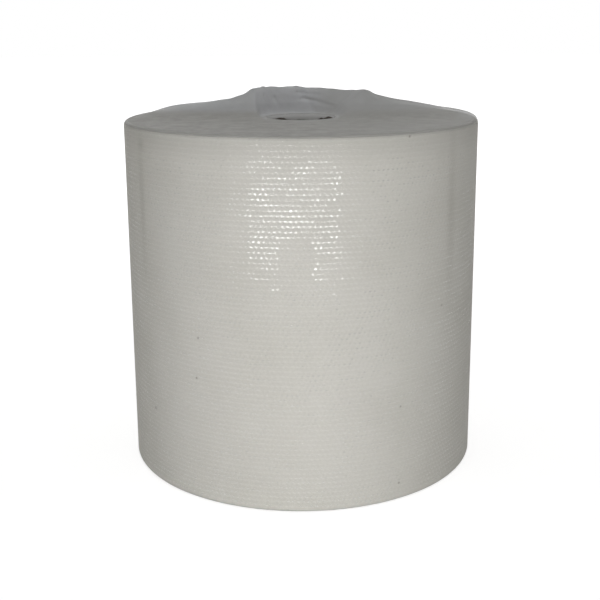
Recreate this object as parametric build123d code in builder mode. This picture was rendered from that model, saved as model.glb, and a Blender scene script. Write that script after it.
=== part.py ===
"""Paper roll for a manicure table, stood on its end in clear shrink film. Millimetres, +Z up.

The origin is on the roll's axis in the plane that the wrapped roll stands on.
"""

import os
from math import cos, pi, radians, sin, sqrt, tau

from build123d import *

# Paper roll
roll_diameter = 199.4
roll_width = 194.4
roll_edge_ease = 1.0  # flat left where the film pulls the cut edge in
turn_line_count = 5
turn_line_width = 0.9
turn_line_depth = 0.5

# Cardboard core
core_bore_diameter = 40.0
core_wall = 2.0

# Clear film, thicker than the real film so that it is a sound solid
film_thickness = 0.3
film_margin = 4.0  # flat ring of film at the rim of the top, outside the pleats
mouth_gap = 1.0  # how far the film's top opening stands back from the bore
base_mouth_gap = 8.0  # how far the film's lower opening stands back from the core

# Crown of gathered film round the mouth of the core
crown_height = 14.0
throat_gap = 1.4  # between the core and the foot of the crown's inner wall
crown_girth = 9.0  # from that foot out to the top of the crown's outer wall
crest_width = 3.6
pleat_count = 22
pleat_depth = 1.5
pleat_swing_share = 0.3  # uneven spacing of the pleats
pleat_fade_share = 0.6  # uneven size of the pleats
lean_share = 0.1  # how much higher the gathered film is on one side
spread_share = 0.12  # how much narrower the crown is on that side
lean_angle = 150.0  # degrees, from +X towards +Y
lobe_share = 0.2  # how far the crown bulges out on another side
lobe_power = 16  # how narrow the bulge is
lobe_angle = 20.0
dip_share = 0.95  # how much of the crown's height is missing at the front, where the film lies flat
dip_ramp_share = 0.35  # how far the film takes to come down to there, to either side of the core's middle
dip_angle = -90.0

# Rings of film from the rim up to the crest: shares of the way in, of the crown's height and of the pleats
tent_ring_shares = (
    (0.15, 0.17, 0.25),
    (0.38, 0.36, 0.45),
    (0.62, 0.52, 0.65),
    (0.80, 0.64, 0.85),
    (0.93, 0.80, 1.00),
    (1.00, 1.00, 1.00),
)
# Rings of film inside the throat: shares of the way out to the crest, of the height and of the pleats
throat_ring_shares = (
    (1.00, 0.95, 0.70),
    (0.35, 0.45, 0.25),
)

# Places that follow from the sizes above
roll_radius = roll_diameter / 2
core_radius = core_bore_diameter / 2 + core_wall
film_radius = roll_radius + film_thickness
film_edge_ease = roll_edge_ease + film_thickness * (2 - sqrt(2))  # keeps the film's thickness at the edge
roll_top = film_thickness + roll_width
film_top = roll_top + film_thickness
throat_radius = core_radius + throat_gap
crest_radius = throat_radius + crown_girth
crest_inner_radius = crest_radius - crest_width
tent_radius = roll_radius - film_margin
foot_depth = film_thickness / 4  # how far the feet of the pleated film are sunk into the flat film


def pleated_ring(radius, base, way_share, rise_share, ruck_share):
    """Corners of one ring of film: pleat tops and pleat valleys in turn."""
    corners = []
    corner_count = 2 * pleat_count
    for corner in range(corner_count):
        swing = pleat_swing_share * sin(corner * corner)
        angle = (corner + swing) * tau / corner_count
        size = 1 - pleat_fade_share * (1 + sin(corner + corner * corner)) / 2
        side_share = cos(angle - radians(lean_angle))
        bulge_share = lobe_share * ((1 + cos(angle - radians(lobe_angle))) / 2) ** lobe_power
        ramp_share = (1 + cos(angle - radians(dip_angle)) / dip_ramp_share) / 2
        front_share = min(max(ramp_share, 0), 1)
        stand_share = 1 - dip_share * front_share ** 2 * (3 - 2 * front_share)
        ruck = stand_share * pleat_depth * ruck_share * size * cos(pi * corner)
        reach = radius * (1 + way_share * (bulge_share - spread_share * side_share)) + ruck / 2
        rise = stand_share * crown_height * rise_share * (1 + lean_share * side_share) + ruck
        corners.append((reach * cos(angle), reach * sin(angle), base + rise))
    return corners


def gathered_film(inset, base):
    """Solid mound under the pleated film, with the throat sunk into it, set in by the inset all over."""
    rings = [pleated_ring(tent_radius - inset, base - 2 * foot_depth, 0, 0, 0)]
    for way_share, rise_share, ruck_share in tent_ring_shares:
        radius = tent_radius + way_share * (crest_radius - tent_radius) - inset
        rings.append(pleated_ring(radius, base, way_share, rise_share, ruck_share))
    for way_share, rise_share, ruck_share in throat_ring_shares:
        radius = throat_radius + way_share * (crest_inner_radius - throat_radius) + inset
        rings.append(pleated_ring(radius, base, way_share, rise_share, ruck_share))
    rings.append(pleated_ring(throat_radius + inset, base - foot_depth, 0, 0, 0))
    facets = [rings[0], rings[-1]]
    for ring, next_ring in zip(rings, rings[1:]):
        for corner in range(2 * pleat_count):
            facets.append((ring[corner - 1], ring[corner], next_ring[corner]))
            facets.append((ring[corner - 1], next_ring[corner], next_ring[corner - 1]))
    return Solid(Shell([Face(Wire.make_polygon(facet)) for facet in facets]))


# Roll of paper: one wound solid, with a few of its turns showing as lines on both ends
with BuildPart() as paper_roll:
    with BuildSketch(Plane.XZ) as roll_half:
        with BuildLine():
            Polyline(
                (core_radius, film_thickness),
                (roll_radius, film_thickness),
                (roll_radius, roll_top),
                (core_radius, roll_top),
                close=True,
            )
        make_face()
        chamfer(roll_half.vertices().group_by(Axis.X)[-1], length=roll_edge_ease)
        turn_pitch = (roll_radius - core_radius) / (turn_line_count + 1)
        for turn in range(turn_line_count):
            turn_radius = core_radius + (turn + 1) * turn_pitch
            for end, inward in ((film_thickness, 1), (roll_top, -1)):
                with BuildLine():
                    Polyline(
                        (turn_radius - turn_line_width / 2, end),
                        (turn_radius, end + inward * turn_line_depth),
                        (turn_radius + turn_line_width / 2, end),
                        close=True,
                    )
                make_face(mode=Mode.SUBTRACT)
    revolve(axis=Axis.Z)
paper_roll.part.label = "paper_roll"

# Core: plain cardboard tube as long as the roll is wide
with BuildPart() as core_tube:
    with BuildSketch(Plane.XY.offset(film_thickness)):
        Circle(core_radius)
        Circle(core_bore_diameter / 2, mode=Mode.SUBTRACT)
    extrude(amount=roll_width)
core_tube.part.label = "core_tube"

# Room inside the film: the roll itself and the air under the pleats
with BuildPart() as film_room:
    with BuildSketch(Plane.XY.offset(film_thickness)):
        Circle(roll_radius)
    extrude(amount=roll_width)
    chamfer(film_room.edges().filter_by(GeomType.CIRCLE), length=roll_edge_ease)
    add(gathered_film(film_thickness, roll_top))

# Film: tight on the side and the base, gathered at the top, open over the core at both ends
with BuildPart() as film_wrap:
    with BuildSketch(Plane.XY):
        Circle(film_radius)
    extrude(amount=film_top)
    chamfer(film_wrap.edges().filter_by(GeomType.CIRCLE), length=film_edge_ease)
    add(gathered_film(0, film_top))
    add(film_room.part, mode=Mode.SUBTRACT)
    with BuildSketch(Plane.XY):
        Circle(core_radius + base_mouth_gap)
    extrude(amount=film_thickness, mode=Mode.SUBTRACT)
    with BuildSketch(Plane.XY.offset(roll_top)):
        Circle(core_bore_diameter / 2 + mouth_gap)
    extrude(amount=film_thickness, mode=Mode.SUBTRACT)
film_wrap.part.label = "film_wrap"

os.makedirs("parts", exist_ok=True)
export_step(paper_roll.part, "parts/paper_roll.step")
export_step(core_tube.part, "parts/core_tube.step")
export_step(film_wrap.part, "parts/film_wrap.step")
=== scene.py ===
"""Looks of the shrink-wrapped manicure paper roll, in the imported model's own frame (metres, +Z up)."""

from math import cos, pi, radians, sin, tau

import bpy
import numpy as np
from mathutils import Matrix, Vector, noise


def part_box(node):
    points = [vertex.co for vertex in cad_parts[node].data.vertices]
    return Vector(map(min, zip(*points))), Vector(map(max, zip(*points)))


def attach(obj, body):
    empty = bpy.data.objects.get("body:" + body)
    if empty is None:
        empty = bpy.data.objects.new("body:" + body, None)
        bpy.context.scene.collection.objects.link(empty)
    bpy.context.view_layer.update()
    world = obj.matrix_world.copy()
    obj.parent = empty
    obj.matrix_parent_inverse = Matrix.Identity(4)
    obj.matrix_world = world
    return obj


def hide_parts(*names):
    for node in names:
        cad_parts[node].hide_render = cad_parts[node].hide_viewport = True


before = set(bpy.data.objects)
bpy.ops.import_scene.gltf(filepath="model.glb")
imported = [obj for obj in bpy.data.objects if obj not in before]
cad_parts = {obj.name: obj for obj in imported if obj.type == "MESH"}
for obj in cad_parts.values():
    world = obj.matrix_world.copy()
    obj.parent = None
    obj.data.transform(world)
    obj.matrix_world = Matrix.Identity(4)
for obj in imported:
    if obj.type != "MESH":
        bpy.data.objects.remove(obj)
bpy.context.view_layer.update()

MM = 0.001

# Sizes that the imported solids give
roll_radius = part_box("paper_roll")[1][0]
roll_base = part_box("paper_roll")[0][2]
roll_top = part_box("paper_roll")[1][2]
core_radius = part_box("core_tube")[1][0]
crown_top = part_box("film_wrap")[1][2]
film_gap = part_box("film_wrap")[1][0] - roll_radius
film_top = roll_top + film_gap

# Film and paper: the real film is far thinner than the solid, so the paper lies closer behind it
film_inset = 0.04 * MM  # from the solid's outer face in to the film
paper_inset = 0.1 * MM  # from the film in to the paper
film_radius = roll_radius + film_gap - film_inset
paper_radius = film_radius - paper_inset
film_edge = 2.4 * MM  # rounding of the upper edges
paper_edge = 2.2 * MM
film_base_edge = 1.2 * MM  # rounding of the lower edges
paper_base_edge = 1.1 * MM

# Paper
row_pitch = 2.64 * MM  # embossed rows
row_groove = 0.03 * MM  # between the rows
dots_round = 236  # embossed dots in one row
turn_pitch = 2.9 * MM  # bands of wound paper that show on the ends
turn_dip = 0.35 * MM  # between the bands
turn_fade = 3 * MM  # how far in from the edge the bands fade

# Core
core_bore_radius = 20 * MM
lap_climb = 70 * MM  # how far the board's spiral joint climbs in one turn
lap_depth = 0.25 * MM
lap_spread = 0.0003  # width of the joint, as the square of a share of the climb


# Mesh helpers

def grid_object(name, rows, closed_ends=False):
    """Smooth object from rows of points that each run once round the roll's axis."""
    rows = np.asarray(rows, float)
    row_count, round_count, _ = rows.shape
    faces = []
    for row in range(row_count if closed_ends else row_count - 1):
        low = row * round_count
        high = (row + 1) % row_count * round_count
        for step in range(round_count):
            after = (step + 1) % round_count
            faces.append((low + step, low + after, high + after, high + step))
    mesh = bpy.data.meshes.new(name)
    mesh.from_pydata(rows.reshape(-1, 3).tolist(), [], faces)
    mesh.shade_smooth()
    mesh.update()
    piece = bpy.data.objects.new(name, mesh)
    bpy.context.scene.collection.objects.link(piece)
    return piece


def ring(angles, radii, heights):
    """One row of points round the axis."""
    radii = np.broadcast_to(radii, angles.shape)
    heights = np.broadcast_to(heights, angles.shape)
    return np.stack([radii * np.cos(angles), radii * np.sin(angles), heights], 1)


def quarter_turn(radius, ease, steps):
    """Places on a rounded edge that starts at the radius: radius, and height over the rounding's middle."""
    for step in range(1, steps):
        turn = step / steps * pi / 2
        yield radius + ease * sin(turn), ease * cos(turn)


def smooth_step(low, high, value):
    """0 at the low value and 1 at the high one, with an even start and end."""
    share = np.clip((value - low) / (high - low), 0, 1)
    return share * share * (3 - 2 * share)


def turn_from(angle, angles):
    """How far the angles are from one angle, at most half a turn either way."""
    return np.angle(np.exp(1j * (angles - angle)))


def hump(angles, angle, width):
    """1 at one angle, falling off to either side."""
    return np.exp(-(turn_from(angle, angles) / width) ** 2)


def add_share(piece, name, values):
    """Number per vertex that the material reads."""
    share = piece.data.attributes.new(name, "FLOAT", "POINT")
    share.data.foreach_set("value", np.asarray(values, np.float32).ravel())


def dress(piece, node, slot, *materials):
    """Piece rides on the roll, stands for a solid and wears its materials."""
    for material in materials:
        piece.data.materials.append(material)
    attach(piece, "root")
    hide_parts(node)


# Material helpers

class Graph:
    """Node tree of a material or a world, with short calls for the nodes that are used here."""

    def __init__(self, owner, output="ShaderNodeOutputMaterial"):
        self.owner = owner
        self.owner.use_nodes = True
        self.tree = self.owner.node_tree
        self.tree.nodes.clear()
        self.output = self.node(output)

    def node(self, kind, inputs=(), **settings):
        node = self.tree.nodes.new(kind)
        for key, value in settings.items():
            setattr(node, key, value)
        for key, value in dict(inputs).items():
            self.put(node.inputs[key], value)
        return node

    def put(self, socket, value):
        """Links another node's output to the socket, or sets a constant on it."""
        if isinstance(value, bpy.types.NodeSocket):
            self.tree.links.new(value, socket)
        else:
            socket.default_value = value

    def math(self, operation, a, b=0.0, c=0.0):
        node = self.node("ShaderNodeMath", operation=operation)
        for socket, value in zip(node.inputs, (a, b, c)):
            self.put(socket, value)
        return node.outputs[0]

    def place(self):
        """Place on the object as a vector and as X, Y and Z, in metres."""
        place = self.node("ShaderNodeTexCoord").outputs["Object"]
        return place, self.node("ShaderNodeSeparateXYZ", {0: place}).outputs

    def stretch(self, place, scales):
        """Place with X, Y and Z each scaled."""
        return self.node("ShaderNodeVectorMath", {0: place, 1: scales}, operation="MULTIPLY").outputs[0]

    def length(self, place):
        return self.node("ShaderNodeVectorMath", {0: place}, operation="LENGTH").outputs["Value"]

    def distance(self, place, spot):
        inputs = {0: place, 1: spot}
        return self.node("ShaderNodeVectorMath", inputs, operation="DISTANCE").outputs["Value"]

    def share(self, name):
        """Number per vertex of the mesh."""
        return self.node("ShaderNodeAttribute", attribute_name=name).outputs["Fac"]

    def noise(self, place, scale, detail=2.0, roughness=0.5):
        inputs = {"Vector": place, "Scale": scale, "Detail": detail, "Roughness": roughness}
        return self.node("ShaderNodeTexNoise", inputs).outputs["Fac"]

    def spread(self, value, low, high, new_low, new_high):
        """Value taken from one span to another, and kept within it."""
        inputs = {"Value": value, "From Min": low, "From Max": high, "To Min": new_low, "To Max": new_high}
        return self.node("ShaderNodeMapRange", inputs).outputs[0]

    def mix(self, share, a, b):
        return self.node("ShaderNodeMix", {0: share, 6: a, 7: b}, data_type="RGBA").outputs[2]

    def near(self, place, angle, height, reach, radius=roll_radius):
        """1 at a spot at the radius, the roll's own unless given, falling to 0 at the reach in metres."""
        spot = (radius * cos(radians(angle)), radius * sin(radians(angle)), height)
        return self.spread(self.distance(place, spot), 0.0, reach, 1.0, 0.0)

    def emboss(self, xyz):
        """Height of the embossed rows, 0 to 1, and the dots along them, -1 to 1, staggered by row."""
        wave = self.math("COSINE", self.math("MULTIPLY", xyz[2], pi / row_pitch))
        ridge = self.math("POWER", self.math("ABSOLUTE", wave), 5.0)
        angle = self.math("ARCTAN2", xyz[1], xyz[0])
        along = self.math("COSINE", self.math("MULTIPLY", angle, float(dots_round)))
        return ridge, self.math("MULTIPLY", along, self.math("SIGN", wave))

    def upper_slopes(self, xyz):
        """1 halfway along the slope above each embossed row, and 0 on the slope below it."""
        wave = self.math("SINE", self.math("MULTIPLY", xyz[2], tau / row_pitch))
        return self.math("POWER", self.math("MAXIMUM", wave, 0.0), 2.0)

    def turn_shadow_lines(self, xyz):
        """1 on the lines between the bands of wound paper on the ends, where painted shade falls in the dips
        between the bands, and 0 elsewhere.
        """
        radius = self.length(self.node("ShaderNodeCombineXYZ", {0: xyz[0], 1: xyz[1]}).outputs[0])
        angle = self.math("ARCTAN2", xyz[1], xyz[0])
        turns = self.math("MULTIPLY_ADD", self.math("SUBTRACT", radius, core_radius), tau / turn_pitch, pi)
        wave = self.math("COSINE", self.math("SUBTRACT", turns, angle))
        lines = self.math("POWER", self.spread(wave, -1.0, 1.0, 0.0, 1.0), 6.0)
        on_end = self.spread(radius, paper_radius - turn_fade, paper_radius - MM, 1.0, 0.0)
        return self.math("MULTIPLY", lines, on_end)

    def slopes(self, xyz):
        """Height of film stretched from row to row, 0 to 1, in even slopes."""
        fold = self.math("PINGPONG", self.math("ADD", xyz[2], row_pitch / 2), row_pitch / 2)
        return self.math("DIVIDE", fold, row_pitch / 2)

    def bump(self, height):
        """Normal from a height in millimetres."""
        return self.node("ShaderNodeBump", {"Height": height, "Distance": MM, "Strength": 1.0}).outputs[0]

    def film(self, share, colour, roughness, ior, normal, behind=None):
        """Clear film: the share of it that is seen, and its gloss, over what lies behind. Light passes it."""
        inputs = {"Base Color": colour, "Roughness": roughness, "IOR": ior, "Normal": normal}
        haze = self.node("ShaderNodeBsdfPrincipled", inputs)
        behind = behind or self.node("ShaderNodeBsdfTransparent")
        ray = self.node("ShaderNodeLightPath").outputs
        passed = self.math("MAXIMUM", ray["Is Shadow Ray"], ray["Is Diffuse Ray"])
        share = self.math("MULTIPLY", share, self.math("SUBTRACT", 1.0, passed))
        return self.node("ShaderNodeMixShader", {0: share, 1: behind.outputs[0], 2: haze.outputs[0]})

    def finish(self, shader):
        self.tree.links.new(shader.outputs[0], self.output.inputs["Surface"])
        return self.owner


# Paper roll

paper_steps = 180  # points round the roll
paper_end_rows = 78


def roll_rows():
    """Rows of points over the roll: bottom end, side and top end, from bore to bore."""
    angles = np.arange(paper_steps) * tau / paper_steps
    inner_edge = paper_radius - paper_edge
    end_radii = np.linspace(core_radius, inner_edge, paper_end_rows)
    rows = []

    def add_end(radius, height, outward):
        turns = (radius - core_radius) / turn_pitch - angles / tau
        dip = turn_dip * (0.5 - 0.5 * np.cos(tau * turns))
        dip_share = smooth_step(paper_radius, inner_edge - turn_fade, radius)
        rows.append(ring(angles, radius, height - outward * dip * dip_share))

    for radius in end_radii:
        add_end(radius, roll_base, -1)
    for radius, height in quarter_turn(paper_radius - paper_base_edge, paper_base_edge, 4):
        rows.append(ring(angles, radius, roll_base + paper_base_edge - height))
    for height in np.arange(roll_base + paper_base_edge, roll_top - paper_edge, row_pitch / 4):
        groove = row_groove * (0.5 - 0.5 * cos(tau * height / row_pitch))
        rows.append(ring(angles, paper_radius - groove, height))
    for radius, height in reversed(list(quarter_turn(inner_edge, paper_edge, 4))):
        rows.append(ring(angles, radius, roll_top - paper_edge + height))
    for radius in end_radii[::-1]:
        add_end(radius, roll_top, 1)
    return rows


# Dirt specks on the side: angle in degrees, height and reach
paper_specks = (
    (-57.7, 193.0 * MM, 1.0 * MM),
    (-122.5, 90.0 * MM, 0.9 * MM),
    (-123.5, 68.0 * MM, 0.9 * MM),
    (-143.8, 42.0 * MM, 1.1 * MM),
    (-59.5, 9.5 * MM, 0.9 * MM),
    (-42.5, 102.0 * MM, 0.8 * MM),
    (-59.3, 52.5 * MM, 0.8 * MM),
    (34.0, 131.0 * MM, 0.9 * MM),
    (118.0, 76.0 * MM, 1.0 * MM),
)
# A darker spot high on the left, at the top of the left band: angle in degrees, height and reach
dark_spot = (-146.8, 186.0 * MM, 5.0 * MM)
# Painted dark reflection: faint upright bands, many times as tall as wide: angle in degrees, height and half
# width
dark_reflection_bands = (
    (-147.5, 158.0 * MM, 4.5 * MM),
    (-38.5, 152.0 * MM, 5.5 * MM),
)
band_slimness = 0.09
dark_spot_share = 0.25
reflection_band_share = 0.2
dirt_and_reflection_share = 0.8
turn_shadow_share = 0.6
shaded_paper = (0.545, 0.532, 0.485, 1)
pale_paper = (0.60, 0.588, 0.545, 1)
turn_shadow = (0.36, 0.345, 0.30, 1)
# Brown shared by the specks of grime and the painted dark reflection
dirt_and_reflection_brown = (0.13, 0.11, 0.08, 1)
# Relief of the paper in millimetres
ridge_height = 0.045
dot_height = 0.035
fibre_height = 0.045


def paper_material():
    """Matt off-white paper: fibres, embossed rows of dots with painted shade in their valleys, painted shade
    on the lines between its turns, specks of grime, a darker spot, and two upright bands of painted dark
    reflection.
    """
    graph = Graph(bpy.data.materials.new("embossed paper"))
    place, xyz = graph.place()
    ridge, dots = graph.emboss(xyz)
    fibre = graph.noise(place, 900.0, 4.0, 0.6)
    cloud = graph.noise(place, 25.0, 3.0)
    tone_and_row_shade = graph.math("MULTIPLY_ADD", fibre, 0.5, graph.math("MULTIPLY", cloud, 0.5))
    # Painted shade: the paper is painted darker in the valleys between the embossed rows and lighter on their
    # ridges
    tone_and_row_shade = graph.math("MULTIPLY_ADD", ridge, 0.12, tone_and_row_shade)
    tone_and_row_shade = graph.spread(tone_and_row_shade, 0.35, 0.65, 0.0, 1.0)
    colour = graph.mix(tone_and_row_shade, shaded_paper, pale_paper)
    # Painted shade on the dips between the turns on the ends
    lines = graph.math("MULTIPLY", graph.turn_shadow_lines(xyz), turn_shadow_share)
    colour = graph.mix(lines, colour, turn_shadow)
    dirt_and_reflection = graph.math("MULTIPLY", graph.near(place, *dark_spot), dark_spot_share)
    # Painted dark reflection in two upright bands, in the same brown as the specks of grime
    squat = graph.stretch(place, (1.0, 1.0, band_slimness))
    for angle, height, reach in dark_reflection_bands:
        reflection_band = graph.near(squat, angle, height * band_slimness, reach)
        dirt_and_reflection = graph.math("MAXIMUM", dirt_and_reflection, graph.math("MULTIPLY", reflection_band, reflection_band_share))
    for speck in paper_specks:
        dirt_and_reflection = graph.math("MAXIMUM", dirt_and_reflection, graph.near(place, *speck))
    colour = graph.mix(graph.math("MULTIPLY", dirt_and_reflection, dirt_and_reflection_share), colour, dirt_and_reflection_brown)
    relief = graph.math("MULTIPLY", ridge, graph.math("MULTIPLY_ADD", dots, dot_height, ridge_height))
    normal = graph.bump(graph.math("MULTIPLY_ADD", fibre, fibre_height, relief))
    inputs = {"Base Color": colour, "Roughness": 0.92, "Specular IOR Level": 0.15, "Normal": normal}
    return graph.finish(graph.node("ShaderNodeBsdfPrincipled", inputs))


paper = grid_object("paper_roll_paper", roll_rows(), closed_ends=True)
dress(paper, "paper_roll", "paper", paper_material())


# Cardboard core

core_steps = 128  # points round the core


def core_rows():
    """Rows of points up the bore and down the outside, with the joint of the wound board in the bore."""
    angles = np.arange(core_steps) * tau / core_steps
    heights = np.linspace(roll_base, roll_top, 80)
    rows = []
    for height in heights:
        lap = np.mod(height / lap_climb + angles / tau, 1.0)
        groove = lap_depth * np.exp(-(lap - 0.5) ** 2 / lap_spread)
        rows.append(ring(angles, core_bore_radius + groove, height))
    for height in heights[::-1]:
        rows.append(ring(angles, core_radius, height))
    return rows


# Painted shadow: places in the bore where the pale band is shallower, so the dark board shows as dark marks:
# angle in degrees, height, reach and the share of the band's depth that is left
painted_shadow_gaps = (
    (132.0, 191.0 * MM, 9.0 * MM, 0.5),
    (42.0, 191.3 * MM, 8.0 * MM, 0.55),
    (28.0, 192.5 * MM, 7.0 * MM, 0.4),
)
least_pale_depth = 4.0 * MM
most_pale_depth = 5.5 * MM
dark_board = (0.075, 0.06, 0.045, 1)
pale_board = (0.13, 0.105, 0.08, 1)
dust_and_painted_light = (0.80, 0.795, 0.78, 1)


def core_material():
    """Dark grey-brown board with a pale band at both ends that is partly dusty paper and partly painted
    light; below it the bore is painted dark as painted shade, with marks of painted shadow in the band.
    """
    graph = Graph(bpy.data.materials.new("grey-brown cardboard"))
    place, xyz = graph.place()
    fibre = graph.noise(place, 600.0, 5.0, 0.65)
    fleck = graph.noise(place, 140.0, 2.0)
    colour = graph.mix(graph.spread(fibre, 0.3, 0.7, 0.0, 1.0), dark_board, pale_board)
    middle = (roll_base + roll_top) / 2
    from_middle = graph.math("ABSOLUTE", graph.math("SUBTRACT", xyz[2], middle))
    depth = graph.math("SUBTRACT", roll_top - middle, from_middle)
    pale_depth = graph.spread(fleck, 0.35, 0.65, least_pale_depth, most_pale_depth)
    for angle, height, reach, left_share in painted_shadow_gaps:
        gap = graph.near(place, angle, height, reach, core_bore_radius)
        pale_depth = graph.math("MULTIPLY", pale_depth, graph.spread(gap, 0.0, 0.5, 1.0, left_share))
    # Painted shade: the bore is pale near its ends and dark deeper down
    pale_band = graph.spread(graph.math("DIVIDE", depth, pale_depth), 0.7, 1.0, 1.0, 0.0)
    colour = graph.mix(pale_band, colour, dust_and_painted_light)
    normal = graph.bump(graph.math("MULTIPLY", fibre, 0.12))
    inputs = {"Base Color": colour, "Roughness": 0.9, "Normal": normal}
    return graph.finish(graph.node("ShaderNodeBsdfPrincipled", inputs))


core = grid_object("core_tube_board", core_rows(), closed_ends=True)
dress(core, "core_tube", "core", core_material())


# Shrink film: one sheet from the mouth under the base, up the side and over the top into the throat

film_steps = 420  # points round the film
film_side_rows = 66
base_mouth_radius = 30 * MM
shade_reach = 14 * MM  # how far down the side the film carries painted shade, which darkens the top of the side
edge_shade_share = 0.24  # how much of that painted shade there is, also on the lower rounded edge

# The top of the film, from here to the throat's creases, is in millimetres above the roll's flat top
tent_rim = 95.7  # radius where the gathered film starts
lip_radius = 19.93  # where it ends, just inside the core's bore
# Gathered film from the rim to the mouth: radius, height, and shares of the crown's spread and gathers
tent_profile = (
    (tent_rim, 0.0, 0.00, 0.00),
    (86.2, 2.4, 0.15, 0.20),
    (71.6, 5.0, 0.38, 0.35),
    (56.5, 7.3, 0.62, 0.50),
    (45.1, 9.0, 0.80, 0.70),
    (37.2, 11.2, 0.93, 0.95),
    (32.4, 14.0, 1.00, 1.00),
    (28.8, 13.3, 1.00, 0.90),
    (25.3, 6.3, 0.35, 0.50),
    (23.4, 0.4, 0.00, 0.10),
    (20.7, 0.05, 0.00, 0.00),
    (lip_radius, -0.1, 0.00, 0.00),
    (lip_radius, -0.35, 0.00, 0.00),
)
tent_steps = (8, 10, 10, 9, 9, 7, 6, 16, 12, 2, 2, 1)
# The crown is higher and narrower on one side, bulges on another and is almost flat in front
lean_angle = radians(150)
lean_share = 0.1
spread_share = 0.12
lobe_angle = radians(20)
lobe_share = 0.2
lobe_power = 16
dip_angle = radians(-90)
dip_share = 0.95
dip_ramp_share = 0.35
# Where the film stands off the rim
puff_angle = radians(4)
puff_width = radians(22)
puff_height = 1.9
puff_foot = 80  # radius where it ends, towards the crown
edge_puff_share = 0.6  # how much of it the rounded edge takes up
puff_haze = 0.6
# Where the film bulges between the rim and the crown
shoulder_angle = radians(163)
shoulder_width = radians(28)
shoulder_height = 1.2
shoulder_radius = 82
shoulder_reach = 8
# Heights at which the film still lies on the roll, and stands free of it
lying_height = 1.4
standing_height = 5.0
# Radii at which the throat starts, and is in full, and below which its haze lessens towards the lip
throat_start = 31
throat_wall = 28
throat_foot = 24.5
throat_end = 20
lip_haze = 0.3
# Small uneven crumples
crumple_width = 9
crumple_rise = 6
crumple_height = 0.35


def smooth_profile(points, steps):
    """Curve through the points, with the given count of steps in each span."""
    points = np.asarray(points, float)
    curve = []
    for span, count in enumerate(steps):
        before = points[max(span - 1, 0)]
        start, end = points[span], points[span + 1]
        after = points[min(span + 2, len(points) - 1)]
        for share in np.arange(count) / count:
            bend = 2 * before - 5 * start + 4 * end - after
            twist = 3 * start - before - 3 * end + after
            curve.append(start + (end - before) * share / 2 + bend * share ** 2 / 2 + twist * share ** 3 / 2)
    curve.append(points[-1])
    return np.array(curve)


def fold_table():
    """Folds of the gathered film: angle, half widths on either side, height, and share where it starts."""
    chance = np.random.default_rng(11)
    folds = [
        (radians(20), radians(3), radians(9), 0.7, 0.3),
        (radians(42), radians(6), radians(10), -0.7, 0.3),
        (radians(172), radians(8), radians(8), 1.8, 0.4),
    ]
    for angle in np.arange(30) * tau / 30:
        width = chance.uniform(0.04, 0.085)
        height = chance.uniform(-0.45, 0.45)
        folds.append((angle + chance.uniform(-0.1, 0.1), width, width, height, chance.uniform(0.15, 0.7)))
    return folds


def pleats(angles, gather, folds):
    """Height of the folds at a share of the gathers."""
    total = np.zeros_like(angles)
    for angle, right_width, left_width, height, onset in folds:
        off = turn_from(angle, angles)
        width = np.where(off < 0, right_width, left_width)
        total += height * np.exp(-(off / width) ** 2) * smooth_step(onset, onset + 0.45, gather)
    return total


def crumples(angles, radius, rise):
    """Small uneven crumples, -1 to 1, round the axis at a radius and height."""
    places = ((radius * cos(angle) / crumple_width, radius * sin(angle) / crumple_width) for angle in angles)
    return np.array([noise.noise((x, y, rise / crumple_rise)) for x, y in places])


# Creases in the throat: angle in degrees and height at both ends, depth and half width
throat_creases = (
    (88.0, 8.2, 42.0, 4.2, 1.0, 1.1),
    (96.0, 11.8, 66.0, 10.4, 0.8, 0.7),
    (90.0, 12.0, 69.0, 0.5, 0.7, 1.6),
    (128.0, 9.0, 118.0, 1.0, 0.7, 1.2),
    (150.0, 11.0, 141.0, 2.0, 0.8, 1.2),
    (30.0, 10.0, 37.0, 2.0, 0.8, 1.2),
)


def throat_crease_depth(angles, radius, heights):
    """How far the creases push the throat's wall out."""
    total = np.zeros_like(angles)
    for angle, height, end_angle, end_height, depth, width in throat_creases:
        reach = radians(end_angle - angle) * radius
        fall = end_height - height
        across = turn_from(radians(angle), angles) * radius
        along = np.clip((across * reach + (heights - height) * fall) / (reach ** 2 + fall ** 2), 0, 1)
        off = np.hypot(across - along * reach, heights - height - along * fall)
        total += depth * np.exp(-(off / width) ** 2) * np.sqrt(np.clip(1.2 - along, 0, 1))
    return total


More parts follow.
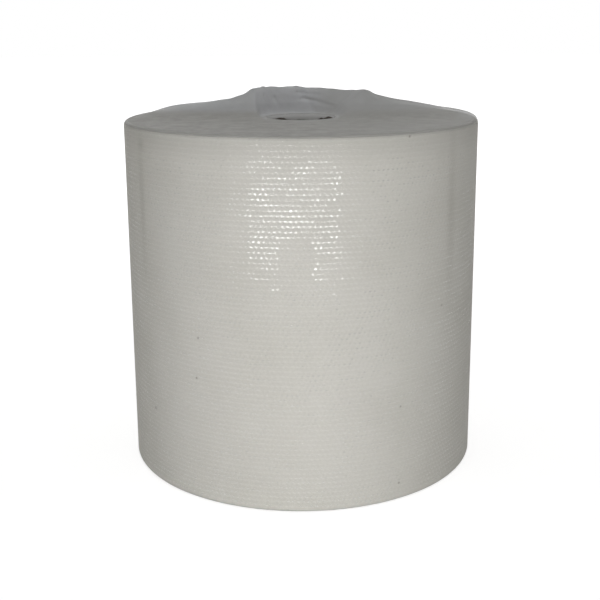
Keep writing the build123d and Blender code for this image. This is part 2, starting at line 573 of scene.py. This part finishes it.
def film_rows():
    """Rows of points over the film, the row that its top starts with, and three shares for each point: how
    free it stands, how deep in the throat it is, and how much of the rim's haze it has."""
    angles = np.arange(film_steps) * tau / film_steps
    inner_edge = film_radius - film_edge
    base_inner_edge = film_radius - film_base_edge
    side_top = film_top - film_edge
    rows, frees, throats, rims = [], [], [], []

    def add_row(radii, heights, free=0.0, throat=0.0, rim=0.0):
        rows.append(ring(angles, radii, heights))
        frees.append(np.broadcast_to(free, angles.shape))
        throats.append(np.broadcast_to(throat, angles.shape))
        rims.append(np.full(angles.shape, rim))

    # Base and side
    for radius in np.linspace(base_mouth_radius, base_inner_edge, 10):
        add_row(radius, 0.0, rim=1.0)
    for radius, height in quarter_turn(base_inner_edge, film_base_edge, 5):
        add_row(radius, film_base_edge - height, rim=edge_shade_share)
    for height in np.linspace(film_base_edge, side_top, film_side_rows):
        add_row(film_radius, height, rim=edge_shade_share * float(smooth_step(shade_reach, 0.0, side_top - height)))

    # Rounded rim, and the flat ring of film inside it
    puff = puff_height * hump(angles, puff_angle, puff_width)
    for radius, height in reversed(list(quarter_turn(inner_edge, film_edge, 6))):
        edge_share = height / film_edge
        heights = side_top + height + edge_puff_share * edge_share * puff * MM
        add_row(radius, heights, rim=edge_shade_share + (1 - edge_shade_share) * edge_share ** 2)
    top_row = len(rows)
    for radius, puff_share in ((inner_edge, 0.65), (97.0 * MM, 0.8), (96.4 * MM, 0.92)):
        free = puff_haze * np.minimum(puff_share * puff, 1)
        add_row(radius, film_top + puff_share * puff * MM, free=free, rim=1.0)

    # Gathered film, crown and throat
    shoulder = shoulder_height * hump(angles, shoulder_angle, shoulder_width)
    side = np.cos(angles - lean_angle)
    stand = 1 - dip_share * smooth_step(-dip_ramp_share, dip_ramp_share, np.cos(angles - dip_angle))
    bulge = lobe_share * ((1 + np.cos(angles - lobe_angle)) / 2) ** lobe_power - spread_share * side
    folds = fold_table()
    for radius, rise, spread, gather in smooth_profile(tent_profile, tent_steps):
        uneven = crumple_height * gather * crumples(angles, radius, rise)
        lift = stand * (pleats(angles, gather, folds) + uneven)
        radii = radius * (1 + spread * bulge) + 0.5 * lift
        heights = stand * rise * (1 + lean_share * side) + lift * min(1.0, rise / 2)
        puff_rise = puff * smooth_step(puff_foot, tent_rim, radius)
        heights += puff_rise + shoulder * np.exp(-((radius - shoulder_radius) / shoulder_reach) ** 2)
        heights = np.minimum(heights, (crown_top - film_top) / MM)
        inside = float(smooth_step(throat_start, throat_wall, radius))
        radii += stand * inside * throat_crease_depth(angles, radius, heights)
        off_lip = float(smooth_step(throat_end, throat_foot, radius))
        throat = stand * inside * (lip_haze + (1 - lip_haze) * off_lip)
        free = np.maximum(smooth_step(lying_height, standing_height, heights), throat)
        free = np.maximum(free, puff_haze * np.minimum(puff_rise, 1))
        add_row(np.maximum(radii, lip_radius) * MM, film_top + heights * MM, free, throat)
    return rows, top_row, frees, throats, rims


# Uneven strength of the glints, drawn out along the rows: cells in a metre of X, Y and Z
dash_scales = (300.0, 300.0, 520.0)
streak_scales = (60.0, 60.0, 280.0)
glint_cluster = (-93.2, 152.5 * MM, 12 * MM)  # angle in degrees, height and reach
glint_film = (0.55, 0.54, 0.50, 1)
glint_roughness = 0.05
glint_ior = 3.0  # more gloss than real film has, for its small share
haze_roughness = 0.35
haze_ior = 1.05
# Painted shade: dark grey that the film lays over the top of the side and the lower rounded edge
painted_shade_haze = (0.36, 0.355, 0.335, 1)
rim_haze = (0.58, 0.575, 0.555, 1)


def tight_film_material():
    """Film stretched over the embossed paper: it stands off and glints at the dots, and clings elsewhere. It
    also carries painted shade down from the top of the side and on the lower rounded edge.
    """
    graph = Graph(bpy.data.materials.new("tight clear film"))
    place, xyz = graph.place()
    _, dots = graph.emboss(xyz)
    loose = graph.noise(place, 90.0, 2.0)
    fleck = graph.noise(graph.stretch(place, dash_scales), 1.0, 2.0)
    streak = graph.noise(graph.stretch(place, streak_scales), 1.0, 2.0)
    sparkle = graph.spread(graph.math("ADD", fleck, streak), 0.92, 1.15, 0.0, 1.0)
    below_rim = graph.spread(xyz[2], 181 * MM, 186 * MM, 0.85, 0.25)
    sparkle = graph.math("MULTIPLY", sparkle, below_rim)
    sparkle = graph.math("MULTIPLY_ADD", graph.near(place, *glint_cluster), 0.9, sparkle)
    stand_off = graph.math("MULTIPLY", graph.spread(dots, -0.2, 0.85, 0.0, 1.0), sparkle)
    stand_off = graph.math("MULTIPLY", stand_off, graph.upper_slopes(xyz))
    share = graph.math("MULTIPLY_ADD", stand_off, 0.46, 0.008)
    slack = graph.spread(loose, 0.3, 0.7, 0.232, 0.255)
    height = graph.math("MULTIPLY_ADD", graph.slopes(xyz), slack, graph.math("MULTIPLY", loose, 0.12))
    glints = graph.film(share, glint_film, glint_roughness, glint_ior, graph.bump(height))
    # Painted shade near the top of the side and on the lower rounded edge, and haze on the rounded rim
    rim = graph.share("rim")
    colour = graph.mix(graph.spread(rim, edge_shade_share, 1.0, 0.0, 1.0), painted_shade_haze, rim_haze)
    haze = graph.math("MULTIPLY", rim, 0.8)
    normal = graph.node("ShaderNodeNewGeometry").outputs["Normal"]
    return graph.finish(graph.film(haze, colour, haze_roughness, haze_ior, normal, glints))


def gathered_film_material():
    """Film that stands free of the paper: crumpled, in several layers at the crown, and so hazier. The
    throat's wall is painted lighter as painted light, and the film is darker grey towards +X.
    """
    graph = Graph(bpy.data.materials.new("gathered clear film"))
    place, xyz = graph.place()
    free = graph.share("free")
    crease = graph.noise(place, 120.0, 4.0, 0.6)
    shade = graph.spread(crease, 0.35, 0.65, 0.0, 1.0)
    haze = graph.math("MULTIPLY_ADD", shade, 0.1, 0.5)
    haze = graph.math("MAXIMUM", haze, graph.spread(free, 0.0, 1.0, 0.5, 0.97))
    flat = graph.mix(shade, (0.585, 0.58, 0.565, 1), (0.635, 0.63, 0.615, 1))
    folded = graph.mix(shade, (0.635, 0.645, 0.65, 1), (0.685, 0.695, 0.70, 1))
    # Painted light: the throat's wall is painted lighter, where less light reaches it
    lit_throat_colour = graph.mix(shade, (0.74, 0.75, 0.77, 1), (0.79, 0.80, 0.82, 1))
    right_side_grey = (0.60, 0.60, 0.585, 1)
    colour = graph.mix(free, flat, folded)
    colour = graph.mix(graph.share("throat"), colour, lit_throat_colour)
    # Darker grey towards +X
    right_side = graph.spread(xyz[0], 4 * MM, 18 * MM, 0.0, 0.75)
    colour = graph.mix(right_side, colour, right_side_grey)
    normal = graph.bump(graph.math("MULTIPLY", crease, 0.5))
    return graph.finish(graph.film(haze, colour, haze_roughness, haze_ior, normal))


film_points, film_top_row, film_frees, film_throats, film_rims = film_rows()
film = grid_object("film_wrap_film", film_points)
add_share(film, "free", film_frees)
add_share(film, "throat", film_throats)
add_share(film, "rim", film_rims)
dress(film, "film_wrap", "film", tight_film_material(), gathered_film_material())
for face in film.data.polygons:
    face.material_index = int(face.index // film_steps >= film_top_row)


# Stage: white floor and surroundings, lamps, what the film mirrors, and the photo's camera

def seen_directly(graph):
    """1 where a ray from the camera, a mirror or clear film looks at the surface."""
    ray = graph.node("ShaderNodeLightPath").outputs
    seen = graph.math("MAXIMUM", ray["Is Camera Ray"], ray["Is Glossy Ray"])
    return graph.math("MAXIMUM", seen, ray["Is Transmission Ray"])


def floor_material():
    """White floor that glows where it is looked at, less so near the roll, so that its shadow stays."""
    graph = Graph(bpy.data.materials.new("white floor"))
    place, _ = graph.place()
    plain = graph.node("ShaderNodeBsdfDiffuse", {"Color": (0.8, 0.8, 0.8, 1)})
    level = graph.spread(graph.length(place), 0.2, 0.9, 0.72, 1.0)
    glow = graph.node("ShaderNodeEmission", {"Strength": graph.math("MULTIPLY", seen_directly(graph), level)})
    return graph.finish(graph.node("ShaderNodeAddShader", {0: plain.outputs[0], 1: glow.outputs[0]}))


def studio_world():
    """White surroundings that give less light than they show."""
    graph = Graph(bpy.data.worlds.new("studio"), "ShaderNodeOutputWorld")
    level = graph.spread(seen_directly(graph), 0.0, 1.0, world_light, 1.0)
    return graph.finish(graph.node("ShaderNodeBackground", {"Color": (1, 1, 1, 1), "Strength": level}))


floor_reach = 6.0
floor_corners = [(x * floor_reach, y * floor_reach, 0) for x, y in ((-1, -1), (1, -1), (1, 1), (-1, 1))]
floor_mesh = bpy.data.meshes.new("floor")
floor_mesh.from_pydata(floor_corners, [], [(0, 1, 2, 3)])
floor = bpy.data.objects.new("floor", floor_mesh)
floor_mesh.materials.append(floor_material())
bpy.context.scene.collection.objects.link(floor)

world_light = 0.37
bpy.context.scene.world = studio_world()

lit_pieces = bpy.data.collections.new("lit pieces")
for piece in (paper, core, film):
    lit_pieces.objects.link(piece)


def panel_light(name, place, turn, width, height, radiance, mirrored=False):
    """Upright soft panel, facing +Y at a turn of 0 degrees, that lights the roll alone. A mirrored one shows
    in gloss alone, and the others don't show in gloss."""
    lamp = bpy.data.lights.new(name, "AREA")
    lamp.shape = "RECTANGLE"
    lamp.size = width
    lamp.size_y = height
    lamp.energy = radiance * pi * width * height
    panel = bpy.data.objects.new(name, lamp)
    panel.location = place
    panel.rotation_euler = (radians(90), 0, radians(turn))
    panel.visible_camera = False
    panel.visible_diffuse = not mirrored
    panel.visible_glossy = mirrored
    panel.light_linking.receiver_collection = lit_pieces
    bpy.context.scene.collection.objects.link(panel)


# A lamp by the camera, and one behind the roll on either side
panel_light("front lamp", (-0.015, -0.50, 0.088), 0, 0.10, 0.17, 19.9)
panel_light("right back lamp", (0.424, 0.424, 0.085), 135, 0.12, 0.17, 10.0)
panel_light("left back lamp", (-0.424, 0.424, 0.085), -135, 0.12, 0.17, 11.3)
# A window with its lower middle covered, and the dimmer walls beside it, for the film to mirror
window_light = 9.0
wall_light = 1.8
panel_light("upper window", (-0.095, -1.0, 0.4725), 0, 1.07, 0.395, window_light, mirrored=True)
panel_light("left window", (-0.42, -1.0, 0.2475), 0, 0.42, 0.055, window_light, mirrored=True)
panel_light("right window", (0.2725, -1.0, 0.2475), 0, 0.335, 0.055, window_light, mirrored=True)
panel_light("left wall", (-0.815, -1.0, 0.4450), 0, 0.37, 0.45, wall_light, mirrored=True)
panel_light("right wall", (0.595, -1.0, 0.4450), 0, 0.31, 0.45, wall_light, mirrored=True)

# Camera, fitted to the photo's outline
camera_pitch = 13.24  # degrees down
camera_roll = -0.38
camera_data = bpy.data.cameras.new("camera")
camera_data.sensor_width = 36.0
camera_data.lens = 60.97
camera_data.shift_x = -0.003
camera_data.shift_y = -0.075
camera = bpy.data.objects.new("camera", camera_data)
camera_tilt = Matrix.Rotation(radians(90 - camera_pitch), 4, "X")
camera_turn = camera_tilt @ Matrix.Rotation(radians(camera_roll), 4, "Z")
camera.matrix_world = Matrix.Translation((0.0, -0.583, 0.2509)) @ camera_turn
bpy.context.scene.collection.objects.link(camera)
bpy.context.scene.camera = camera
bpy.context.scene.view_settings.view_transform = "Standard"
